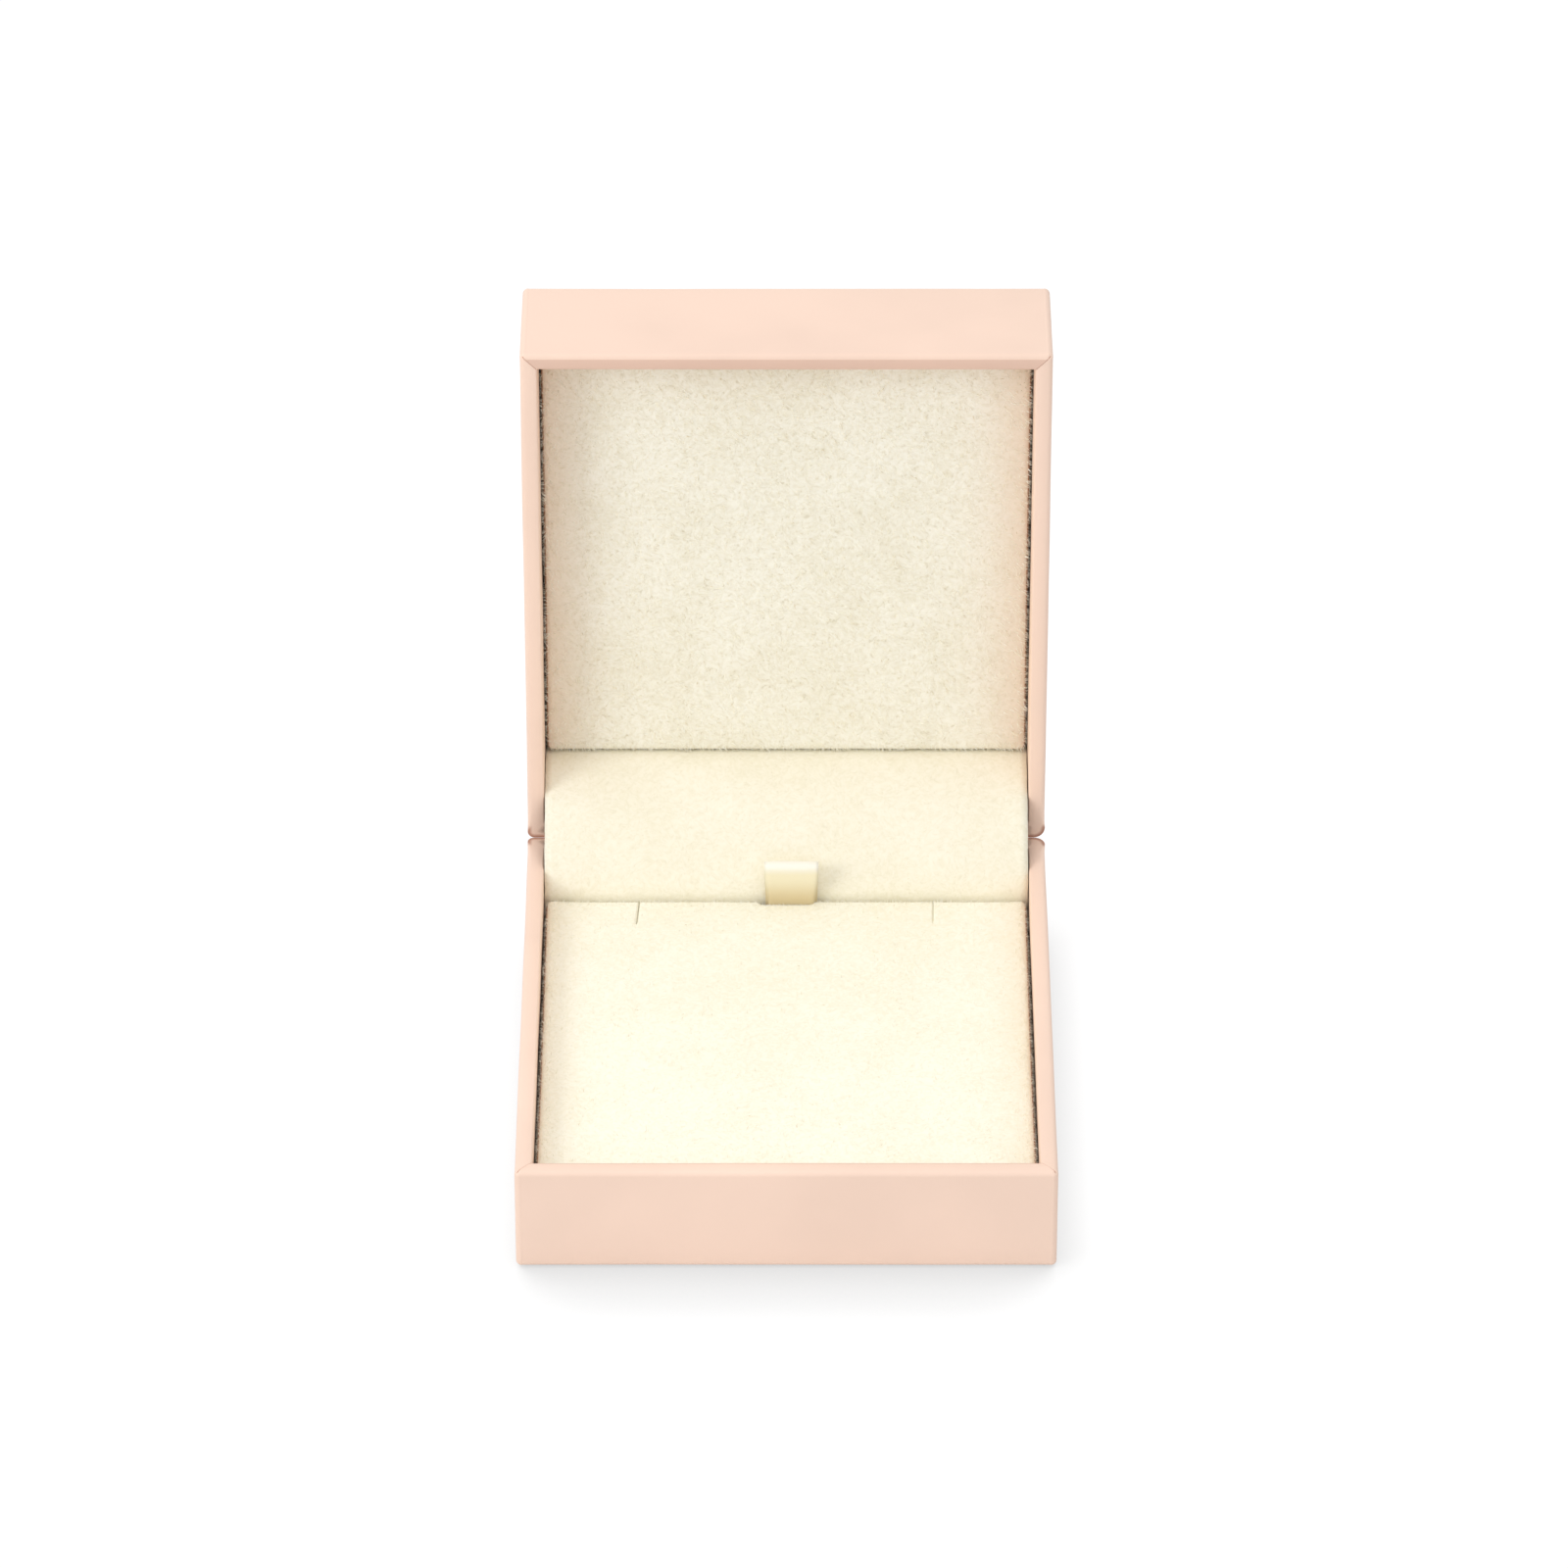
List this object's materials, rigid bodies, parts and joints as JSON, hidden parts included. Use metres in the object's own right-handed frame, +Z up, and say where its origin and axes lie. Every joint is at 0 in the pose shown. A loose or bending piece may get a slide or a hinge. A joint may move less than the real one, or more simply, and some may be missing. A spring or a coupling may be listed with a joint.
{
  "type": "hinged jewelry box",
  "caption": "Low square box with a hinged lid that stands open, wrapped in leatherette and lined with velvet pads, for keeping a necklace or pendant.",
  "frame": {"origin": "middle of the base's underside, on the surface that the box stands on", "axes": "+X to the right seen from the front, +Y towards the hinge at the back, +Z up; the lid stands open in the rest pose"},
  "size_m": [0.09, 0.125, 0.1159],
  "materials": {
    "leatherette": "smooth satin leatherette, pale pink",
    "tray_plastic": "plain moulded polystyrene",
    "velvet": "short-pile cream velvet",
    "foam": "soft foam sheet",
    "card": "grey board",
    "ribbon": "cream satin",
    "hinge_steel": "nickel-plated spring steel"
  },
  "bodies": {
    "base": {"base_tray": "tray_plastic", "base_wrap": "leatherette", "base_bottom_sheet": "leatherette", "insert_ledge": "card", "hinge_leaf_base": "hinge_steel", "hinge_rivets_base": "hinge_steel", "hinge_pin": "hinge_steel", "snap_springs": "hinge_steel", "hinge_flap": "velvet"},
    "lid": {"lid_tray": "tray_plastic", "lid_wrap": "leatherette", "lid_pad_frame": "card", "lid_pad_board": "card", "lid_pad_foam": "foam", "lid_pad_velvet": "velvet", "hinge_leaf_lid": "hinge_steel", "hinge_rivets_lid": "hinge_steel"},
    "insert": {"insert_board": "card", "insert_foam": "foam", "insert_velvet": "velvet", "ribbon_tab": "ribbon"}
  },
  "joints": [
    {"name": "lid_hinge", "type": "hinge", "parent": "base", "child": "lid", "pos_m": [0, 0.048, 0.0201], "axis": [1, 0, 0], "range_deg": [0, 93], "deforming": ["hinge_flap", "snap_springs"]},
    {"name": "insert_lift", "type": "slide", "parent": "base", "child": "insert", "axis": [0, 0, 1], "range_m": [0, 0.005]}
  ]
}
